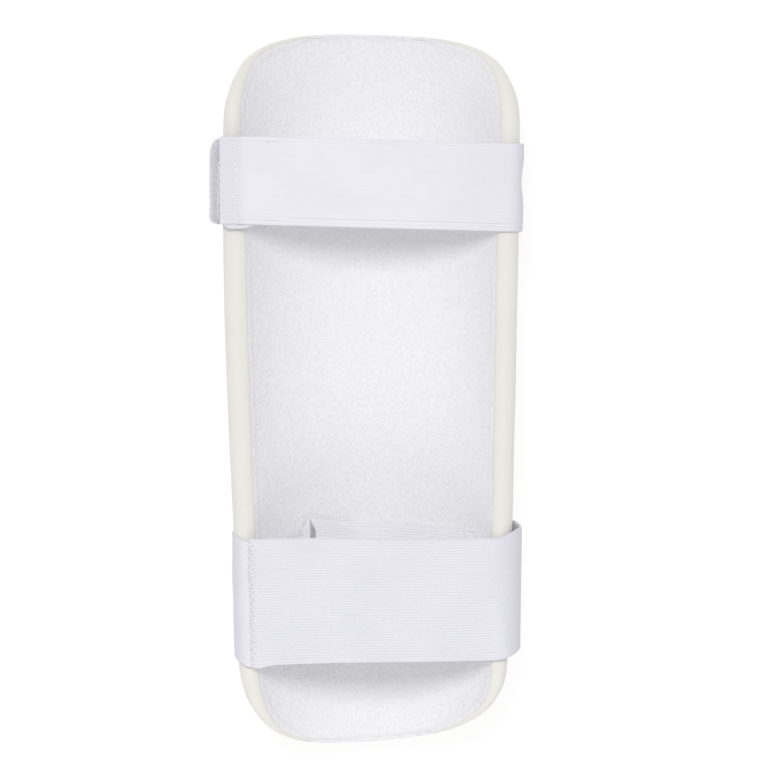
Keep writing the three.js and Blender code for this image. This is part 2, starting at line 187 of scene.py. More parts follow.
def towelling():
    # Short cotton-rich towelling, brushed flat by wear: nubs of curled loops about 0.9 mm apart
    # with small pits between them painted darker as painted shade, bright and quite without gloss
    material, tree, shader = newMaterial("towelling", {
        "IOR": 1.46, "Specular IOR Level": 0.15, "Sheen Weight": 0.2, "Sheen Roughness": 0.6,
    })
    place = addNode(tree, "TexCoord").outputs["Object"]
    sway = addNode(tree, "TexNoise", {"Vector": place, "Scale": 520, "Detail": 1})
    curled = addNode(tree, "VectorMath", {0: sway.outputs["Color"], "Scale": 1.6 * mm}, operation="SCALE")
    moved = addNode(tree, "VectorMath", {0: place, 1: curled}, operation="ADD")
    nubs = addNode(tree, "TexVoronoi", {"Vector": moved, "Scale": 1 / (0.9 * mm)}, feature="SMOOTH_F1")
    fibre = addNode(tree, "TexNoise", {
        "Vector": moved, "Scale": 1 / (0.5 * mm), "Detail": 2, "Roughness": 0.6})
    patches = addNode(tree, "TexNoise", {"Vector": place, "Scale": 55, "Detail": 3})
    aged = addNode(tree, "TexNoise", {"Vector": place, "Scale": 24, "Detail": 2})
    dome = addNode(tree, "MapRange", {
        "Value": nubs, "From Min": 0.12, "From Max": 0.62, "To Min": 1, "To Max": 0})
    fuzz = addNode(tree, "Math", {0: fibre, 1: 0.7}, operation="MULTIPLY")
    height = addNode(tree, "Math", {0: dome, 1: fuzz}, operation="ADD")
    # painted shade: the low pits between the nubs are darker than the nubs
    pitShade = addNode(tree, "MapRange", {"Value": height, "From Min": 0.25, "From Max": 0.95})
    nap = addNode(tree, "Mix", {0: pitShade, 6: linear("efeef2"), 7: linear("f7f7f9")}, data_type="RGBA")
    patch = addNode(tree, "MapRange", {
        "Value": patches, "From Min": 0.4, "From Max": 0.7, "To Min": 0, "To Max": 0.3})
    brushed = addNode(tree, "Mix", {0: patch, 6: nap, 7: linear("f0eff5")}, data_type="RGBA")
    yellow = addNode(tree, "MapRange", {
        "Value": aged, "From Min": 0.6, "From Max": 0.75, "To Min": 0, "To Max": 0.12})
    colour = addNode(tree, "Mix", {0: yellow, 6: brushed, 7: linear("f5f4ec")}, data_type="RGBA")
    finishSurface(tree, shader, colour, fibre, (0.9, 1), height, 0.13 * mm)
    return material


def wovenElastic(name, ribPitch, ribDepth, valley, crest):
    # Polyester elastic, woven over rubber cords and bleached: fine ribs along it, smaller
    # stitches across them, a cool white with a soft sheen; the valleys between ribs and stitches are
    # painted darker as painted shade
    material, tree, shader = newMaterial(name, {
        "IOR": 1.5, "Specular IOR Level": 0.3, "Sheen Weight": 0.12, "Sheen Roughness": 0.4,
    })
    coordinates = addNode(tree, "TexCoord")
    greyAndShade = addNode(tree, "Attribute", attribute_name="greyAndShade")
    drawn = addNode(tree, "Attribute", attribute_name="drawn")
    cloth = addNode(tree, "SeparateXYZ", {0: coordinates.outputs["UV"]})
    across = addNode(tree, "Math", {0: cloth.outputs["X"], 1: math.pi / ribPitch}, operation="MULTIPLY")
    ribWave = addNode(tree, "Math", {0: across}, operation="SINE")
    rib = addNode(tree, "Math", {0: ribWave}, operation="ABSOLUTE")
    shift = addNode(tree, "Math", {0: ribWave, 1: 0}, operation="GREATER_THAN")
    along = addNode(tree, "Math", {0: cloth.outputs["Y"], 1: math.pi / (0.55 * mm)}, operation="MULTIPLY")
    stepped = addNode(tree, "Math", {0: shift, 1: math.pi / 2, 2: along}, operation="MULTIPLY_ADD")
    stitchWave = addNode(tree, "Math", {0: stepped}, operation="SINE")
    stitch = addNode(tree, "Math", {0: stitchWave}, operation="ABSOLUTE")
    stitchShare = addNode(tree, "Math", {0: stitch, 1: 0.3}, operation="MULTIPLY")
    uneven = addNode(tree, "TexNoise", {
        "Vector": coordinates.outputs["Object"], "Scale": 900, "Detail": 2})
    unevenShare = addNode(tree, "Math", {0: uneven, 1: 0.35, 2: stitchShare}, operation="MULTIPLY_ADD")
    # where the elastic is drawn smooth its ribs lie flat
    relaxed = addNode(tree, "MapRange", {"Value": drawn.outputs["Fac"], "To Min": 1, "To Max": 0.2})
    ribShare = addNode(tree, "Math", {0: rib, 1: relaxed}, operation="MULTIPLY")
    height = addNode(tree, "Math", {0: ribShare, 1: unevenShare}, operation="ADD")
    # painted shade: the low valleys between the ribs and stitches are darker
    shade = addNode(tree, "MapRange", {"Value": height, "From Min": 0.25, "From Max": 1.1})
    yarn = addNode(tree, "Mix", {0: shade, 6: linear(valley), 7: linear(crest)}, data_type="RGBA")
    clouds = addNode(tree, "TexNoise", {
        "Vector": coordinates.outputs["Object"], "Scale": 45, "Detail": 2})
    cloud = addNode(tree, "MapRange", {
        "Value": clouds, "From Min": 0.4, "From Max": 0.7, "To Min": 0, "To Max": 0.4})
    clouded = addNode(tree, "Mix", {0: cloud, 6: yarn, 7: linear(valley)}, data_type="RGBA")
    # an attribute per vertex paints the cloth greyer: a grey tone in places, and painted shade where it
    # turns away from the light
    colour = addNode(tree, "Mix", {
        0: greyAndShade.outputs["Fac"], 6: clouded, 7: linear("d3d2dd")}, data_type="RGBA")
    finishSurface(tree, shader, colour, uneven, (0.68, 0.86), height, ribDepth)
    return material


def hookTape():
    # Woven nylon hook tape: rows of small stiff hooks about 1.4 mm apart, with lint caught among them;
    # the hooks are painted lighter and the gaps darker as painted highlight and shade, and it is painted
    # greyer as painted shade where it runs in under a strap's or a band's end
    material, tree, shader = newMaterial("hook_tape", {
        "IOR": 1.53, "Specular IOR Level": 0.4, "Sheen Weight": 0.15, "Sheen Roughness": 0.5,
    })
    place = addNode(tree, "TexCoord").outputs["Object"]
    hooks = addNode(tree, "TexVoronoi", {"Vector": place, "Scale": 1 / (1.4 * mm), "Randomness": 0.55})
    lint = addNode(tree, "TexNoise", {
        "Vector": place, "Scale": 1 / (0.9 * mm), "Detail": 3, "Roughness": 0.7})
    hook = addNode(tree, "MapRange", {
        "Value": hooks, "From Min": 0.1, "From Max": 0.6, "To Min": 1, "To Max": 0})
    height = addNode(tree, "Math", {0: hook, 1: lint}, operation="ADD")
    # painted highlight and shade: the hooks are lighter and the gaps between them darker
    shade = addNode(tree, "MapRange", {"Value": height, "From Min": 0.4, "From Max": 1.4})
    tape = addNode(tree, "Mix", {0: shade, 6: linear("e6e4ea"), 7: linear("f3f2f7")}, data_type="RGBA")
    # this grey is mixed in as painted shade where the tape runs in under a strap's or a band's end
    shadedGrey = addNode(tree, "Mix", {0: shade, 6: linear("b2b0b8"), 7: linear("c6c4cc")}, data_type="RGBA")
    greyAndShade = addNode(tree, "Attribute", attribute_name="greyAndShade")
    colour = addNode(tree, "Mix", {0: greyAndShade.outputs["Fac"], 6: tape, 7: shadedGrey}, data_type="RGBA")
    finishSurface(tree, shader, colour, lint, (0.55, 0.9), height, 0.08 * mm)
    return material


def loopTape():
    # Brushed nylon loop tape: a tangled soft nap, cloudy white and quite without gloss
    material, tree, shader = newMaterial("loop_tape", {
        "IOR": 1.53, "Specular IOR Level": 0.2, "Sheen Weight": 0.3, "Sheen Roughness": 0.6,
    })
    place = addNode(tree, "TexCoord").outputs["Object"]
    tangle = addNode(tree, "TexNoise", {
        "Vector": place, "Scale": 1 / (1.2 * mm), "Detail": 4, "Roughness": 0.7, "Distortion": 1.5})
    clouds = addNode(tree, "TexNoise", {"Vector": place, "Scale": 120, "Detail": 2})
    mixed = addNode(tree, "Math", {0: clouds, 1: 0.5, 2: tangle}, operation="MULTIPLY_ADD")
    shade = addNode(tree, "MapRange", {"Value": mixed, "From Min": 0.5, "From Max": 1})
    colour = addNode(tree, "Mix", {0: shade, 6: linear("d3d2d9"), 7: linear("efeef3")}, data_type="RGBA")
    finishSurface(tree, shader, colour, tangle, (0.85, 1), tangle, 0.4 * mm)
    return material


def sewingThread():
    # Bright polyester sewing thread, two plies twisted together: glossy small beads of light
    material, tree, shader = newMaterial("sewing_thread", {
        "IOR": 1.55, "Specular IOR Level": 0.5, "Sheen Weight": 0.1,
    })
    place = addNode(tree, "TexCoord").outputs["Object"]
    plies = addNode(tree, "TexNoise", {"Vector": place, "Scale": 1 / (0.3 * mm), "Detail": 1})
    colour = addNode(tree, "Mix", {0: plies, 6: linear("efeef5"), 7: linear("fdfdff")}, data_type="RGBA")
    finishSurface(tree, shader, colour, plies, (0.35, 0.55), plies, 0.08 * mm)
    return material


lowerRibPitch = 1.1 * mm
upperRibPitch = 0.7 * mm
foamSkin = skinnedFoam()
towel = towelling()
smoothElastic = wovenElastic("smooth_elastic", upperRibPitch, 0.05 * mm, "eae9f1", "f2f1f8")
ribbedElastic = wovenElastic("ribbed_elastic", lowerRibPitch, 0.06 * mm, "e8e7ef", "f8f7fc")
hooks = hookTape()
loops = loopTape()
thread = sewingThread()
print("materials ready")


# Pieces
weldReach = 0.001 * mm


def finishPiece(name, bm, material, slot, node=None):
    mesh = bpy.data.meshes.new(name)
    bm.to_mesh(mesh)
    bm.free()
    mesh.shade_smooth()
    mesh.materials.append(material)
    piece = bpy.data.objects.new(name, mesh)
    bpy.context.scene.collection.objects.link(piece)
    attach(piece, "root")
    if node:
        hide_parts(node)
    return piece


def mergedCopy(node):
    bm = bmesh.new()
    bm.from_mesh(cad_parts[node].data)
    bmesh.ops.remove_doubles(bm, verts=bm.verts, dist=weldReach)
    return bm


def joinTriangles(bm):
    bmesh.ops.join_triangles(bm, faces=bm.faces, angle_face_threshold=math.radians(25),
                             angle_shape_threshold=math.radians(50))


def withModifiers(bm, steps):
    # a new bmesh with the modifiers of the steps made real
    mesh = bpy.data.meshes.new("working")
    bm.to_mesh(mesh)
    bm.free()
    working = bpy.data.objects.new("working", mesh)
    bpy.context.scene.collection.objects.link(working)
    for kind, settings in steps:
        modifier = working.modifiers.new(kind, kind)
        for name, value in settings.items():
            setattr(modifier, name, value)
    made = bmesh.new()
    made.from_object(working, bpy.context.evaluated_depsgraph_get())
    bpy.data.objects.remove(working)
    bpy.data.meshes.remove(mesh)
    return made


# Small departures of this moulding from its even plan, in millimetres: fuller corners at the elbow
# end, a fuller right side, and a wrist end that is shorter, most of all at its right corner
settling = {
    "corner": 1.3, "cornerAlong": (132 * mm, 8 * mm), "cornerAcross": (22 * mm, 42 * mm),
    "side": 0.7, "sideAlong": (-118 * mm, 12 * mm), "sideAcross": (20 * mm, 42 * mm),
    "end": 0.4, "endRight": 0.4, "endAlong": (112 * mm, 138 * mm), "endAcross": (-10 * mm, 40 * mm),
}


def settled(place):
    look = settling
    corner = look["corner"] * bump(place.y, *look["cornerAlong"])
    corner *= ease(abs(place.x), *look["cornerAcross"])
    side = look["side"] * bump(place.y, *look["sideAlong"]) * ease(place.x, *look["sideAcross"])
    end = look["end"] + look["endRight"] * ease(place.x, *look["endAcross"])
    end *= ease(-place.y, *look["endAlong"])
    return place + Vector((math.copysign(corner, place.x) + side, end, 0)) * mm


# The moulded shell, a little uneven as a hand-trimmed moulding is, but for the land it rests on
shellLook = {
    "levels": 2, "land": (2 * mm, 8 * mm), "full": 0.2 * mm, "fullSlope": (0.3, 0.8),
    "wave": 0.25 * mm, "waveScale": 28,
}


def buildShell():
    look = shellLook
    bm = mergedCopy("foam_shell")
    joinTriangles(bm)
    bm = withModifiers(bm, [("SUBSURF", {"levels": look["levels"], "render_levels": look["levels"]})])
    bm.normal_update()
    for vert in bm.verts:
        rise = ease(vert.co.z, *look["land"])
        wave = look["wave"] * noise.noise(vert.co * look["waveScale"])
        full = look["full"] * ease(math.hypot(vert.normal.x, vert.normal.y), *look["fullSlope"])
        vert.co = settled(vert.co + vert.normal * (wave + full) * rise)
    shell = finishPiece("moulded_shell", bm, foamSkin, "skinned_foam", "foam_shell")
    return shell


shell = buildShell()
print("shell ready", len(shell.data.polygons))


# The lining: a sheet of towelling with a rolled edge. Its sides are tucked against the rim, and
# its ends are drawn over it
liningLook = {
    "sharp": math.radians(50), "levels": 2, "grid": 0.7 * mm, "upper": 0.3, "borderUp": 0.2,
    "nubPitch": 1.4 * mm, "nubHeight": 0.13 * mm, "fuzzPitch": 0.9 * mm, "lump": 0.12 * mm, "lumpScale": 60,
    "rollWidth": 3 * mm, "rollHeight": 1 * mm, "climb": 0.9 * mm, "pressReach": 1.5 * mm, "press": 0.1 * mm,
    "endAcross": (20 * mm, 33 * mm), "endAlong": (118 * mm, 124 * mm), "endSpine": 100 * mm,
    "overEnd": 1.5 * mm, "cover": 0.25 * mm, "lookDown": 6 * mm,
    "tuck": (0.2 * mm, 1.1 * mm), "seamRise": 1.3 * mm, "spine": 98 * mm, "contact": -0.08 * mm,
    "drops": (0, 0.7 * mm, 1.4 * mm, 2.1 * mm), "stepBack": 2 * mm, "lookOut": 6 * mm,
    "softReach": 2 * mm, "softRounds": 8,
}


def edgeTree(bm, look):
    # finds the nearest point of the sharp border of a solid sheet's upper side
    border = [edge for edge in bm.edges if edge.is_manifold and edge.calc_face_angle() > look["sharp"]
              and any(face.normal.z > look["borderUp"] for face in edge.link_faces)]
    ends = []
    for edge in border:
        first, last = (vert.co for vert in edge.verts)
        steps = max(1, math.ceil((last - first).length / mm))
        ends += [first.lerp(last, step / steps) for step in range(steps)]
    tree = kdtree.KDTree(len(ends))
    for index, place in enumerate(ends):
        tree.insert(place, index)
    tree.balance()
    return tree


def pileRise(place, fromEdge, toEnd):
    # how far the cloth stands up: curled nubs, soft lumps, and the roll along its edge
    look = liningLook
    pile = ease(fromEdge, 0.5 * look["rollWidth"], look["rollWidth"])
    cells = noise.voronoi(place / look["nubPitch"])[0]
    nub = min(1, 1.6 * (cells[1] - cells[0])) - 0.5 + 0.5 * noise.noise(place / look["fuzzPitch"])
    roll = look["rollHeight"] * (1 - ease(fromEdge, 0, look["rollWidth"])) * (1 - 0.7 * toEnd)
    rise = look["nubHeight"] * nub * (0.3 + 0.7 * pile) + roll
    return rise + look["lump"] * noise.noise(place * look["lumpScale"]) * pile


def drawnOver(moulding, place, drawn):
    # a place of an end, moved out over the rim and lifted clear of it
    look = liningLook
    away = Vector((place.x, place.y - math.copysign(look["endSpine"], place.y), 0)).normalized()
    place = place + away * look["overEnd"] * drawn
    rim = moulding.ray_cast(place + Vector((0, 0, look["lookDown"])), Vector((0, 0, -1)))[0]
    if rim:
        place.z = max(place.z, rim.z + look["cover"])
    return place


def seamOnRim(moulding, place):
    # where the cloth meets the rim's inner wall, straight out from the trough's middle line or,
    # where the wall is missed, from a little lower
    look = liningLook
    spine = Vector((0, min(max(place.y, -look["spine"]), look["spine"]), place.z))
    outward = (place - spine).normalized()
    for drop in look["drops"]:
        start = place - outward * look["stepBack"] - Vector((0, 0, drop))
        wall = moulding.ray_cast(start, outward, look["lookOut"])[0]
        if wall:
            return wall - outward * look["contact"]
    return None


def upperSheet(look):
    # the upper side of the solid lining as an even grid, with its border's tree
    bm = mergedCopy("lining")
    crease = bm.edges.layers.float.new("crease_edge")
    for edge in bm.edges:
        if edge.is_manifold and edge.calc_face_angle() > look["sharp"]:
            edge[crease] = 1
    joinTriangles(bm)
    border = edgeTree(bm, look)
    bm = withModifiers(bm, [
        ("SUBSURF", {"levels": look["levels"], "render_levels": look["levels"]}),
        ("REMESH", {"mode": "VOXEL", "voxel_size": look["grid"]}),
    ])
    bm.normal_update()
    lower = [face for face in bm.faces if face.normal.z < look["upper"]]
    bmesh.ops.delete(bm, geom=lower, context="FACES")
    bm.normal_update()
    return bm, border


def buildLining():
    look = liningLook
    bm, border = upperSheet(look)
    moulding = BVHTree.FromObject(shell, bpy.context.evaluated_depsgraph_get())
    presses = [BVHTree.FromBMesh(mergedCopy(node)) for node in ("inner_band", "inner_tab")]
    soft = []
    for vert in bm.verts:
        seam, _, fromEdge = border.find(vert.co)
        place = settled(vert.co)
        toEnd = (1 - ease(abs(place.x), *look["endAcross"])) * ease(abs(place.y), *look["endAlong"])
        rise = pileRise(place, fromEdge, toEnd)
        if any(tree.ray_cast(place, vert.normal, look["pressReach"])[0] for tree in presses):
            rise = -look["press"]
        place += vert.normal * rise
        place.z += look["climb"] * (1 - ease(fromEdge, 0, 0.5 * look["rollWidth"])) * (1 - toEnd)
        drawn = toEnd * (1 - ease(fromEdge, 0, 3 * look["overEnd"]))
        if drawn > 0:
            place = drawnOver(moulding, place, drawn)
        tuck = 1 if vert.is_boundary else 1 - ease(fromEdge, *look["tuck"])
        place.z += (seam.z + look["seamRise"] - place.z) * tuck * (1 - toEnd)
        wall = seamOnRim(moulding, place) if tuck else None
        if wall:
            place = place.lerp(wall, tuck * (1 - toEnd))
        if fromEdge < look["softReach"] and toEnd < 0.5 and not vert.is_boundary:
            soft.append(vert)
        vert.co = place
    for _ in range(look["softRounds"]):
        bmesh.ops.smooth_vert(bm, verts=soft, factor=0.5, use_axis_x=True, use_axis_y=True, use_axis_z=True)
    lining = finishPiece("towelling_lining", bm, towel, "towelling", "lining")
    return lining


lining = buildLining()
print("lining ready", len(lining.data.polygons))


# Straps: each follows the CAD strap's outer side, which is read round a hub in the X and Z plane.
# The turn round it is 0 on the way ahead and grows towards the side, and the strap's outer side
# faces away from the hub, or where outside is -1 towards it
acrossTop = {"hub": (0, 20 * mm), "ahead": (1, 0), "side": (0, -1), "outside": 1}
roundLeft = {"hub": (0, 20 * mm), "ahead": (-1, 0), "side": (0, -1), "outside": 1}
inTrough = {"hub": (0, 67 * mm), "ahead": (0, -1), "side": (1, 0), "outside": -1}
edgeSlope = 0.6  # a face that looks along the guard more than this is on a strap's edge


def spoke(place, way):
    return Vector((place.x - way["hub"][0], 0, place.z - way["hub"][1]))


def turnOf(place, way):
    arm, ahead, side = spoke(place, way), way["ahead"], way["side"]
    return math.atan2(arm.x * side[0] + arm.z * side[1], arm.x * ahead[0] + arm.z * ahead[1])


def smoothLine(points, steps=8):
    line = [points[0]]
    for index in range(len(points) - 1):
        start, end = points[index], points[index + 1]
        before, after = points[max(index - 1, 0)], points[min(index + 2, len(points) - 1)]
        reach = (end - start).length / 3
        leave = start + (end - before).normalized() * reach
        arrive = end - (after - start).normalized() * reach
        line += geometry.interpolate_bezier(start, leave, arrive, end, steps + 1)[1:]
    return line


def edgeLines(node, way):
    # the turns and places along the low and the high edge of a CAD strap's outer side
    bm = mergedCopy(node)
    bm.normal_update()
    tree = BVHTree.FromBMesh(bm)
    outer = set()
    for face in bm.faces:
        middle = face.calc_center_median()
        behind = tree.ray_cast(middle - face.normal * 0.01 * mm, -face.normal, 3 * mm)[0]
        outwards = face.normal.dot(spoke(middle, way)) * way["outside"] > 0
        if behind and outwards and abs(face.normal.y) < edgeSlope:
            outer.add(face)
    edges = {False: [], True: []}
    for vert in bm.verts:
        walls = [face.normal.y for face in vert.link_faces if abs(face.normal.y) > edgeSlope]
        if walls and any(face in outer for face in vert.link_faces):
            edges[walls[0] > 0].append((turnOf(vert.co, way), vert.co.copy()))
    bm.free()
    lines = []
    for high in (False, True):
        line = smoothLine([place for turn, place in sorted(edges[high], key=lambda pair: pair[0])])
        lines.append(([turnOf(place, way) for place in line], line))
    return lines


def between(values, wanted):
    # the two places of a rising list that a value lies between, and its share of the way
    low, high = 0, len(values) - 1
    while high - low > 1:
        middle = (low + high) // 2
        if values[middle] <= wanted:
            low = middle
        else:
            high = middle
    return low, high, (wanted - values[low]) / max(values[high] - values[low], 1e-9)


def atTurn(line, share):
    turns, places = line
    low, high, part = between(turns, turns[0] + (turns[-1] - turns[0]) * share)
    return places[low].lerp(places[high], part)


def readStrap(node, way, count=500):
    # stations along a strap: its two edges on the outer side, and the way out of it
    lines = edgeLines(node, way)
    pairs = [[atTurn(line, index / count) for line in lines] for index in range(count + 1)]
    stations = []
    for index, (low, high) in enumerate(pairs):
        before, after = pairs[max(index - 1, 0)], pairs[min(index + 1, count)]
        run = (after[0] + after[1]) - (before[0] + before[1])
        outward = run.cross(high - low).normalized()
        if outward.dot(spoke((low + high) / 2, way)) * way["outside"] < 0:
            outward = -outward
        stations.append((low, high, outward))
    return stations


def measure(stations):
    lengths = [0]
    for before, after in zip(stations, stations[1:]):
        step = ((after[0] + after[1]) - (before[0] + before[1])).length / 2
        lengths.append(lengths[-1] + step)
    return lengths


def stationAt(laid, length):
    lengths, stations = laid["lengths"], laid["stations"]
    low, high, share = between(lengths, min(max(length, 0), lengths[-1]))
    return [a.lerp(b, share) for a, b in zip(stations[low], stations[high])]


def onRibbon(laid, across, length, lift=0):
    low, high, outward = stationAt(laid, length)
    place = low.lerp(high, across) + laid["shift"](across, length)
    return place + outward * (laid["relief"](across, length) + lift)


def spaced(*spans):
    # places from 0 on: each span is its end and the spacing inside it
    places = [0]
    for end, spacing in spans:
        start = places[-1]
        steps = max(1, round((end - start) / spacing))
        places += [start + (end - start) * (step + 1) / steps for step in range(steps)]
    return places


def nothing(across, length):
    return 0


def still(across, length):
    return Vector()


def wavy(across, length, overWidth, perMetre, seed):
    # smooth noise on a strap
    return noise.noise(Vector((across * overWidth, length * perMetre, seed)))


def closeTo(stations, shift, clear, start, end):
    # moves a strap in until it lies a little clear of the shell, from start to end growing to full
    bare = {"stations": stations, "lengths": measure(stations), "relief": nothing, "shift": shift}
    moulding = BVHTree.FromObject(shell, bpy.context.evaluated_depsgraph_get())

    def moved(across, length):
        share = ease(length, start, end)
        if share == 0:
            return 0
        place, outward = onRibbon(bare, across, length), stationAt(bare, length)[2]
        distance = moulding.ray_cast(place, -outward, 6 * mm)[3]
        return -share * max(0, (distance or 0) - clear)

    return moved


def roundedEdges(look):
    return lambda across, length: 0.5 + 0.5 * ease(min(across, 1 - across) * look["width"], 0, look["soft"])


def layRibbon(name, node, look, stations, columns, rows, material, relief, thinning=None,
              shift=still, greyAndShade=nothing, drawn=nothing):
    # a band of cloth on the stations; columns are places across it and rows places along it,
    # relief moves its middle layer outwards and shift anywhere, thinning is the share of the
    # thickness left, the grey share how much greyer the cloth is painted, in part as painted shade, and
    # drawn how smooth it is
    laid = {"node": node, "look": look, "stations": stations, "lengths": measure(stations),
            "relief": relief, "shift": shift}
    thinning = thinning or roundedEdges(look)
    bm = bmesh.new()
    greyAndShadeLayer = bm.verts.layers.float.new("greyAndShade")
    drawnLayer = bm.verts.layers.float.new("drawn")
    patternLayer = bm.loops.layers.uv.new("cloth")
    bmesh.ops.create_grid(bm, x_segments=len(columns) - 1, y_segments=len(rows) - 1, size=0.5)
    weights = bm.verts.layers.deform.verify()
    cloth = {}
    for vert in bm.verts:
        column = columns[round((vert.co.x + 0.5) * (len(columns) - 1))]
        row = rows[round((vert.co.y + 0.5) * (len(rows) - 1))]
        across = column / columns[-1]
        cloth[vert] = (column, row)
        vert[weights][0] = thinning(across, row)
        vert[greyAndShadeLayer] = greyAndShade(across, row)
        vert[drawnLayer] = drawn(across, row)
        vert.co = onRibbon(laid, across, row)
    for face in bm.faces:
        for loop in face.loops:
            loop[patternLayer].uv = cloth[loop.vert]
    piece = finishPiece(name, bm, material, look["slot"], node)
    piece.vertex_groups.new(name="thickness")
    body = piece.modifiers.new("thickness", "SOLIDIFY")
    body.thickness = look["thickness"]
    body.offset = 0
    body.vertex_group = "thickness"
    laid["piece"] = piece
    return laid


def sewThreads(laid, runs):
    # one piece for all the stitches of a band: every run is one stitch
    name = laid["node"] + "_stitches"
    curve = bpy.data.curves.new(name, "CURVE")
    curve.dimensions = "3D"
    curve.bevel_depth = laid["look"]["threadRadius"]
    curve.bevel_resolution = 1
    curve.use_fill_caps = True
    for run in runs:
        spline = curve.splines.new("POLY")
        spline.points.add(len(run) - 1)
        for point, place in zip(spline.points, run):
            point.co = (*place, 1)
    working = bpy.data.objects.new("working", curve)
    bpy.context.scene.collection.objects.link(working)
    bm = bmesh.new()
    bm.from_mesh(working.evaluated_get(bpy.context.evaluated_depsgraph_get()).to_mesh())
    bpy.data.objects.remove(working)
    bmesh.ops.remove_doubles(bm, verts=bm.verts, dist=weldReach)
    bmesh.ops.recalc_face_normals(bm, faces=bm.faces)
    return finishPiece(name, bm, thread, laid["look"]["slot"])


# Stitches: each is an arch whose ends sink into the cloth, and its holes wander off their line
stitchLook = {"steps": 4, "arch": 0.3 * mm, "sink": 0.6, "wander": 0.5}


def stitch(laid, start, end, lift):
    # one stitch from hole to hole, each (share across, length along), arched over the cloth
    run = []
    for step in range(stitchLook["steps"] + 1):
        share = step / stitchLook["steps"]
        across = start[0] + (end[0] - start[0]) * share
        length = start[1] + (end[1] - start[1]) * share
        arch = stitchLook["arch"] * (math.sin(math.pi * share) - stitchLook["sink"])
        run.append(onRibbon(laid, across, length, lift + arch))
    return run


def zigzag(laid, length, lift, swing, pitch, first=0.05, last=0.95):
    # stitches to and fro across a line that crosses the strap
    count = round(laid["look"]["width"] * (last - first) / pitch)
    holes = []
    for index in range(count + 1):
        across = first + (last - first) * index / count
        wander = stitchLook["wander"] * swing * noise.noise(Vector((index * 0.57, length * 900, 5)))
        holes.append((across, length + (swing if index % 2 else -swing) / 2 + wander))
    return [stitch(laid, start, end, lift) for start, end in zip(holes, holes[1:])]


def sewnRows(laid):
    # the rows that hold a strap's far end on the outer face
    look, runs = laid["look"], []
    for place in look["endRows"]:
        runs += zigzag(laid, laid["lengths"][-1] - place, look["thickness"] / 2, **look["endStitches"])
    return runs


# Upper strap: its left end is folded under itself and sewn down
upperLook = {
    "slot": "smooth_elastic",
    "thickness": 1.3 * mm, "layer": 0.62 * mm, "cad": 1.4 * mm, "width": 35 * mm,
    "fold": 15 * mm, "skew": 1.9 * mm, "corner": 7.5 * mm,
    "seam": 6.3 * mm, "seamWidth": 1.1 * mm, "seamDeep": 0.26 * mm, "pucker": 0.8 * mm,
    "selvedge": (1.9 * mm, 0.3 * mm), "selvedgeDeep": 0.26 * mm,
    "lowLine": (3.1 * mm, 0.3 * mm), "lowLineDeep": 0.14 * mm, "edgeDeep": 0.18 * mm,
    "wave": 0.22 * mm, "dentAlong": 121 * mm, "dentDeep": 0.8 * mm,
    "clear": 0.85 * mm, "closing": (32 * mm, 16 * mm),
    "seamStitches": {"swing": 1.7 * mm, "pitch": 1.25 * mm, "first": 0.04, "last": 0.97},
    "endStitches": {"swing": 1.6 * mm, "pitch": 1.2 * mm}, "endRows": (3 * mm, 16 * mm),
    "threadRadius": 0.27 * mm,
}
fullAfter = 2.2  # a strap has its full thickness this many fold lengths from its end


def rounding(distance, reach):
    # how far a rounded corner is cut back at a distance from its side, as a share
    left = 1 - min(1, max(0, distance / reach))
    return 1 - math.sqrt(1 - left ** 2)


def foldUnder(stations, look):
    # sets the stations on the middle of the cloth, and adds the layer that is folded under
    lengths = measure(stations)
    half = look["layer"] / 2
    radius = (look["cad"] - look["layer"]) / 2
    top = []
    for (low, high, outward), length in zip(stations, lengths):
        depth = half + (look["cad"] / 2 - half) * ease(length, look["fold"], fullAfter * look["fold"])
        top.append((low - outward * depth, high - outward * depth, outward))
    start = next(index for index, length in enumerate(lengths) if length > radius + half)
    low, high, outward = top[start]
    ahead = ((top[start + 1][0] + top[start + 1][1]) - (low + high)).normalized()
    turn, turnSteps = [], 12
    for step in range(1, turnSteps):
        angle = math.pi * step / turnSteps
        move = outward * (-radius + radius * math.cos(angle)) - ahead * radius * math.sin(angle)
        out = (outward * math.cos(angle) - ahead * math.sin(angle)).normalized()
        turn.append((low + move, high + move, out))
    under = []
    for index in range(start, len(stations)):
        away = lengths[index] - lengths[start]
        if away > look["fold"]:
            break
        low, high, outward = stations[index]
        depth = look["cad"] - half
        slide = Vector((0, -look["skew"] * ease(away, 0, 3 * mm), 0))
        cut = look["corner"] * rounding(look["fold"] - away, look["corner"])
        across = (high - low).normalized()
        under.append((low - outward * depth + slide + across * cut,
                      high - outward * depth + slide - across * cut, -outward))
    return under[::-1] + turn[::-1] + top[start:]


def layered(look, fold, length):
    # the share of the full thickness: one layer at the fold, and the whole strap further on
    full = ease(length, fold + look["fold"], fold + fullAfter * look["fold"])
    return (look["layer"] + (look["thickness"] - look["layer"]) * full) / look["thickness"]


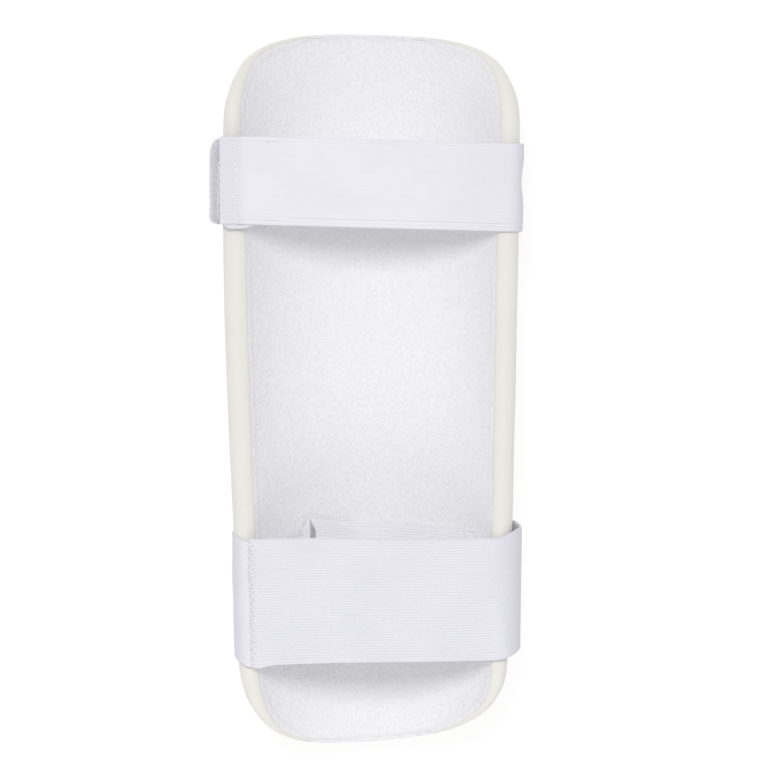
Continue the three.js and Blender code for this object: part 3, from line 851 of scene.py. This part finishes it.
def buildUpperStrap():
    look = upperLook
    width = look["width"]
    stations = foldUnder(readStrap("upper_strap", acrossTop), look)
    lengths = measure(stations)
    fold = next(length for (low, high, out), length in zip(stations, lengths) if out.z > 0)
    seam = fold + look["seam"]

    def relief(across, length):
        onTop = ease(length, fold, fold + mm)
        fromEdge = min(across, 1 - across) * width
        line = bump(fromEdge, *look["selvedge"]) * look["selvedgeDeep"]
        lowLine = bump(across * width, *look["lowLine"]) * look["lowLineDeep"]
        needle = bump(length, seam, look["seamWidth"]) * look["seamDeep"]
        pucker = bump(length, seam + 1.2 * mm, look["seamWidth"]) * bump(across * width, 0.8 * mm, 2.2 * mm)
        wave = wavy(across, length, 2.2, 55, 3) * look["wave"]
        wave *= ease(length, fold + 8 * mm, fold + 30 * mm)
        edge = look["edgeDeep"] * (1 - ease(fromEdge, 0, 0.8 * mm))
        dent = bump(length, fold + look["dentAlong"], 3 * mm) * bump(across, 0.58, 0.16) * look["dentDeep"]
        raised = wave - line - lowLine - needle + look["pucker"] * pucker - edge - dent
        return onTop * raised + closed(across, length)

    def thinning(across, length):
        edge = 0.55 + 0.45 * ease(min(across, 1 - across) * width, 0, 0.7 * mm)
        return layered(look, fold, length) * edge

    def greyAndShade(across, length):
        # greyer over the doubled end, and painted shade on the side that turns down the wall, away from the
        # light
        doubled = 1 - ease(length, seam, seam + 4 * mm)
        right = 0.15 * ease(length, fold + 80 * mm, fold + 105 * mm)
        return 0.3 * doubled + right + 0.6 * ease(length, fold + 112 * mm, fold + 122 * mm)

    def shift(across, length):
        # narrower by its stretch, most of all at the sewn end
        low = 1.3 - 0.3 * ease(length, fold + 5 * mm, fold + 20 * mm)
        return Vector((0, (low * (1 - across) + 0.4 * across) * mm, 0))

    closed = closeTo(stations, shift, look["clear"], *(lengths[-1] - reach for reach in look["closing"]))
    columns = spaced((4 * mm, 0.2 * mm), (31 * mm, 0.75 * mm), (width, 0.2 * mm))
    rows = spaced((fold - 1.2 * mm, 0.8 * mm), (fold + 1.2 * mm, 0.13 * mm),
                  (fold + 14 * mm, 0.45 * mm), (lengths[-1], 1.2 * mm))
    laid = layRibbon("upper_strap_elastic", "upper_strap", look, stations, columns, rows, smoothElastic,
                     relief, thinning, shift=shift, greyAndShade=greyAndShade)
    seamRow = zigzag(laid, seam, look["layer"] / 2, **look["seamStitches"])
    stitches = sewThreads(laid, seamRow + sewnRows(laid))
    return laid


upperStrap = buildUpperStrap()
print("upper strap ready", len(upperStrap["piece"].data.polygons))


# Hook tab: comes from under the upper strap and bulges round the left rim
tabLook = {
    "slot": "hook_tape",
    "thickness": 1.3 * mm, "cad": 1.6 * mm, "width": 32.8 * mm, "nap": 0.1 * mm, "napPitch": 1.3 * mm,
    "wave": 0.2 * mm, "rise": 0.9 * mm, "swell": 1.5 * mm,
    "highCorner": 3.2 * mm, "highReach": 5.5 * mm, "lowCorner": 2.7 * mm, "lowReach": 3 * mm,
    "soft": 0.9 * mm, "grid": 0.5 * mm, "besideFold": 0.3 * mm,
    "stitches": {"swing": 0.7 * mm, "pitch": 1.5 * mm, "first": 0.06, "last": 0.72},
    "threadRadius": 0.22 * mm,
}


def sunk(stations, depth):
    return [(low - outward * depth, high - outward * depth, outward) for low, high, outward in stations]


def buildHookTab():
    look = tabLook
    width = look["width"]
    stations = sunk(readStrap("hook_tab", roundLeft), look["cad"] / 2)
    lengths = measure(stations)

    def relief(across, length):
        nap = noise.noise(Vector((across * width, length, 0.4)) / look["napPitch"])
        wave = wavy(across, length, 3, 70, 8)
        high, low = (1 - across) * width, across * width
        swell = look["swell"] * (1 - 0.93 * ease(high, 6 * mm, 30 * mm))
        swell -= (look["highCorner"] * rounding(high, look["highReach"])
                  + look["lowCorner"] * rounding(low, look["lowReach"]))
        shown = ease(length, 10 * mm, 16 * mm) * (1 - ease(length, 30 * mm, 46 * mm))
        return nap * look["nap"] + wave * look["wave"] + swell * shown

    def shift(across, length):
        return Vector((0, look["rise"], 0))

    def greyAndShade(across, length):
        # painted shade: darker towards the strap's folded end, where the tab runs in under it
        return 0.85 - 0.8 * ease(length, 13.5 * mm, 19 * mm)

    columns, rows = spaced((width, look["grid"])), spaced((lengths[-1], look["grid"]))
    laid = layRibbon("hook_tab_tape", "hook_tab", look, stations, columns, rows, hooks, relief,
                     shift=shift, greyAndShade=greyAndShade)
    # the row of stitches that shows beside the strap's folded end
    foldX = min(corner[0] for corner in upperStrap["piece"].bound_box)
    row = next(length for (low, high, out), length in zip(stations, lengths)
               if (low.x + high.x) / 2 < foldX + look["besideFold"])
    stitches = sewThreads(laid, zigzag(laid, row, look["thickness"] / 2, **look["stitches"]))


buildHookTab()
print("hook tab ready")


# Loop patch on the outer face, sewn down all round
patchLook = {
    "slot": "loop_tape",
    "thickness": 1.1 * mm, "cad": 1.2 * mm, "width": 40 * mm, "nap": 0.2 * mm, "napPitch": 1.1 * mm,
    "hem": 2.2 * mm, "hemWidth": 0.5 * mm, "hemDeep": 0.3 * mm, "soft": 0.9 * mm, "grid": 0.55 * mm,
    "stitch": 2.6 * mm, "gap": 0.08, "threadRadius": 0.2 * mm,
}


def buildLoopPatch():
    look = patchLook
    width, hem = look["width"], look["hem"]
    stations = sunk(readStrap("loop_patch", roundLeft), look["cad"] / 2)
    lengths = measure(stations)

    def relief(across, length):
        fromEdge = min(across * width, (1 - across) * width, length, lengths[-1] - length)
        nap = noise.noise(Vector((across * width, length, 0.7)) / look["napPitch"])
        return nap * look["nap"] - bump(fromEdge, hem, look["hemWidth"]) * look["hemDeep"]

    columns, rows = spaced((width, look["grid"])), spaced((lengths[-1], look["grid"]))
    laid = layRibbon("loop_patch_tape", "loop_patch", look, stations, columns, rows, loops, relief)
    low, high, start, end = hem / width, 1 - hem / width, hem, lengths[-1] - hem
    corners = [(low, start), (high, start), (high, end), (low, end)]
    runs = []
    for here, there in zip(corners, corners[1:] + corners[:1]):
        span = math.hypot((there[0] - here[0]) * width, there[1] - here[1])
        count = round(span / look["stitch"])
        for index in range(count):
            first = [a + (b - a) * (index + look["gap"]) / count for a, b in zip(here, there)]
            last = [a + (b - a) * (index + 1 - look["gap"]) / count for a, b in zip(here, there)]
            runs.append(stitch(laid, first, last, look["thickness"] / 2))
    stitches = sewThreads(laid, runs)


buildLoopPatch()
print("loop patch ready")


# Lower strap: wide, with a rib for each rubber cord
lowerLook = {
    "slot": "ribbed_elastic",
    "thickness": 1.25 * mm, "cad": 1.6 * mm, "width": 49 * mm, "rib": 0.14 * mm,
    "seam": 1 * mm, "seamWidth": 1.1 * mm, "seamDeep": 0.3 * mm, "pressed": 0.3 * mm, "stand": 0.15 * mm,
    "wave": 0.25 * mm, "tilt": 0.2 * mm, "bulgeAlong": (109 * mm, 9 * mm), "bulge": 0.4 * mm,
    "crest": 94 * mm, "ragged": 3 * mm, "soft": 0.8 * mm,
    "clear": 0.85 * mm, "closing": (34 * mm, 18 * mm),
    "seamStitches": {"swing": 2.1 * mm, "pitch": 1.5 * mm, "first": 0.03, "last": 0.97},
    "endStitches": {"swing": 1.8 * mm, "pitch": 1.3 * mm}, "endRows": (3 * mm, 16 * mm),
    "threadRadius": 0.28 * mm,
}


def ribs(place, pitch):
    return math.sqrt(abs(math.sin(math.pi * place / pitch)))


def buildLowerStrap():
    look = lowerLook
    width, crest = look["width"], look["crest"]
    stations = sunk(readStrap("lower_strap", acrossTop), look["cad"] / 2)
    lengths = measure(stations)

    def relief(across, length):
        fromEdge = min(across, 1 - across) * width
        edge = ease(fromEdge, 0.4 * mm, 1.6 * mm) * (1 - 0.85 * drawn(across, length))
        rib = ribs(across * width, lowerRibPitch) * look["rib"] * edge
        needle = bump(length, look["seam"], look["seamWidth"]) * look["seamDeep"]
        wave = wavy(across, length, 2, 45, 11) * look["wave"]
        tilt = wavy(across, length, 14, 160, 4) * look["tilt"] * bump(length, look["seam"], 6 * mm)
        bulge = bump(length, *look["bulgeAlong"]) * look["bulge"]
        pressed = look["pressed"] * (1 - ease(length, 0, 2.5 * mm))
        cloth = rib - needle - pressed + wave * ease(length, 8 * mm, 30 * mm) + tilt + bulge
        return cloth + closed(across, length)

    def drawn(across, length):
        # smooth where it is stretched round the right rim
        ragged = look["ragged"] * noise.noise(Vector((across * 9, 0.5, 7)))
        return ease(length + ragged, crest, crest + 8 * mm)

    def greyAndShade(across, length):
        # greyer all along, and darker past the crest as painted shade where it turns down the right rim,
        # away from the light
        return 0.38 + 0.22 * ease(length, crest, crest + 9 * mm)

    def shift(across, length):
        # its elbow side climbs past the crest, its wrist side tapers, and its sewn end is ragged
        high = 1.4 + 0.6 * bump(length, 22 * mm, 22 * mm)
        high += 1.8 * ease(length, 96 * mm, 106 * mm) + 1.6 * ease(length, 106 * mm, 118 * mm)
        high *= 1 - ease(length, 126 * mm, 148 * mm)
        low = (1.5 - 3.4 * ease(length, 5 * mm, 110 * mm)) * (1 - ease(length, 98 * mm, 108 * mm))
        corner = 1.3 * (1 - ease(length, 2 * mm, 9 * mm)) * (1 - ease(across, 0, 0.07))
        ragged = 0.5 * noise.noise(Vector((across * 23, 2.5, 1))) * (1 - ease(length, 0, 3 * mm))
        return Vector((ragged, high * across + low * (1 - across) - corner, 0)) * mm

    def thinning(across, length):
        return roundedEdges(look)(across, length) * (0.45 + 0.55 * ease(length, 0, 2 * mm))

    closed = closeTo(stations, shift, look["clear"], *(lengths[-1] - reach for reach in look["closing"]))
    columns = spaced((width, lowerRibPitch / 4))
    rows = spaced((14 * mm, 0.6 * mm), (lengths[-1], 1.5 * mm))
    laid = layRibbon("lower_strap_elastic", "lower_strap", look, stations, columns, rows, ribbedElastic,
                     relief, thinning, shift=shift, greyAndShade=greyAndShade, drawn=drawn)
    seamRow = zigzag(laid, look["seam"], look["thickness"] / 2 + look["stand"], **look["seamStitches"])
    stitches = sewThreads(laid, seamRow + sewnRows(laid))
    return laid


lowerStrap = buildLowerStrap()
print("lower strap ready", len(lowerStrap["piece"].data.polygons))


# Wrap round the left rim that the lower strap is sewn to
wrapLook = {
    "slot": "ribbed_elastic",
    "thickness": 1.0 * mm, "cad": 1.2 * mm, "width": 47.5 * mm, "rib": 0.12 * mm, "ribPitch": 0.9 * mm,
    "wave": 0.15 * mm, "slack": 0.45 * mm, "rise": 1.5 * mm, "soft": 0.8 * mm, "grid": 1.2 * mm,
    "endStitches": {"swing": 1.7 * mm, "pitch": 1.3 * mm}, "endRows": (3 * mm, 14 * mm),
    "threadRadius": 0.2 * mm,
}


def buildLowerWrap():
    look = wrapLook
    width = look["width"]
    stations = sunk(readStrap("lower_wrap", roundLeft), look["cad"] / 2)
    lengths = measure(stations)

    def relief(across, length):
        rib = ribs(across * width, look["ribPitch"]) * look["rib"] * (1 - drawn(across, length))
        wave = wavy(across, length, 3, 60, 17) * look["wave"]
        slack = bump(length, 18 * mm, 8 * mm) * ease(across, 0.6, 1) * look["slack"]
        return rib * ease(min(across, 1 - across) * width, 0.3 * mm, 1.3 * mm) + wave - slack

    def shift(across, length):
        return Vector((0, look["rise"] * across * (1 - ease(length, 30 * mm, 50 * mm)), 0))

    def drawn(across, length):
        return 0.4 + 0.6 * ease(length, 9 * mm, 13 * mm)

    def greyAndShade(across, length):
        # greyer, and darker past the rim's crest as painted shade where it turns down the outer wall
        return 0.2 + 0.3 * ease(length, 11 * mm, 15 * mm)

    columns, rows = spaced((width, look["ribPitch"] / 4)), spaced((lengths[-1], look["grid"]))
    laid = layRibbon("lower_wrap_elastic", "lower_wrap", look, stations, columns, rows, ribbedElastic,
                     relief, shift=shift, greyAndShade=greyAndShade, drawn=drawn)
    stitches = sewThreads(laid, sewnRows(laid))


buildLowerWrap()
print("lower wrap ready")


# Band on the lining under the lower strap: its left end is folded, and crumpled further on
bandLook = {
    "slot": "ribbed_elastic",
    "thickness": 1.25 * mm, "layer": 0.72 * mm, "cad": 1.6 * mm, "width": 45 * mm,
    "fold": 9 * mm, "skew": 0.3 * mm, "corner": 2 * mm, "rib": 0.08 * mm,
    "crumple": 0.4 * mm, "crumplePitch": 1.15 * mm, "crease": 0.16 * mm, "creasePitch": 0.42 * mm,
    "freeCorner": 1.9, "cornerLift": 1.1,
}


def buildInnerBand():
    look = bandLook
    width = look["width"]
    stations = foldUnder(readStrap("inner_band", inTrough), look)
    lengths = measure(stations)
    fold = next(length for (low, high, out), length in zip(stations, lengths) if out.z > 0)

    def relief(across, length):
        fromEdge = min(across, 1 - across) * width
        rib = ribs(across * width, lowerRibPitch) * look["rib"] * ease(fromEdge, 0.4 * mm, 1.4 * mm)
        fromEnd = lengths[-1] - length
        turn = 3 * wavy(across, length, 3, 60, 2)
        crumple = math.sin(fromEnd / look["crumplePitch"] + turn) * look["crumple"]
        crease = math.sin(fromEnd / look["creasePitch"] + 2 * turn) * look["crease"]
        folds = crumple * bump(fromEnd, 11 * mm, 6 * mm) + crease * bump(fromEnd, 7 * mm, 7 * mm)
        return (rib + folds * ease(across, 0.6, 1)) * ease(length, fold, fold + 2 * mm)

    def shift(across, length):
        # its elbow edge lies a little higher, and its free corner reaches out
        high = 0.9 + (1 - ease(length, fold, fold + 14 * mm)) + 0.7 * ease(length, 62 * mm, 75 * mm)
        corner = ease(across, 0.87, 1) * (1 - ease(abs(length - fold), 2 * mm, 10 * mm))
        return Vector((-look["freeCorner"] * corner, high * across, look["cornerLift"] * corner)) * mm

    def thinning(across, length):
        return layered(look, fold, length)

    columns = spaced((width, lowerRibPitch / 4))
    rows = spaced((fold - 1.2 * mm, 0.8 * mm), (fold + 1.2 * mm, 0.15 * mm), (lengths[-1], 0.7 * mm))
    laid = layRibbon("inner_band_elastic", "inner_band", look, stations, columns, rows, ribbedElastic,
                     relief, thinning, shift=shift)


buildInnerBand()
print("inner band ready")


# Tab under the band's left end: a lip of it stands up beside that end
innerTabLook = {
    "slot": "hook_tape",
    "thickness": 0.9 * mm, "cad": 1 * mm, "width": 36 * mm, "wave": 0.15 * mm, "lip": 25.9 * mm,
    "lipHeight": 1.5 * mm, "lipReach": 3.2, "soft": 0.8 * mm, "columns": 0.5 * mm, "rows": 0.4 * mm,
}


def buildInnerTab():
    look = innerTabLook
    width = look["width"]
    stations = sunk(readStrap("inner_tab", inTrough), look["cad"] / 2)
    lengths = measure(stations)

    def relief(across, length):
        lip = bump(length, look["lip"], 1.2 * mm) * look["lipHeight"] * ease(across, 0.6, 0.9)
        return wavy(across, length, 4, 90, 6) * look["wave"] + lip

    def shift(across, length):
        # its elbow edge lies a little higher
        lip = look["lipReach"] * bump(length, look["lip"], 1.4 * mm) * ease(across, 0.9, 1)
        sliver = 2.6 + 1.4 * ease(length, 8 * mm, 23 * mm) - 1.4 * ease(length, 26.5 * mm, 30 * mm)
        return Vector((0, (sliver * ease(across, 0.5, 1) + lip) * mm, 0))

    def greyAndShade(across, length):
        # painted shade beyond the lip, in the gap under the band's end
        return 0.5 * ease(length, look["lip"] + 0.6 * mm, look["lip"] + 1.2 * mm)

    columns, rows = spaced((width, look["columns"])), spaced((lengths[-1], look["rows"]))
    laid = layRibbon("inner_tab_tape", "inner_tab", look, stations, columns, rows, hooks, relief,
                     shift=shift, greyAndShade=greyAndShade)


buildInnerTab()
print("inner tab ready")
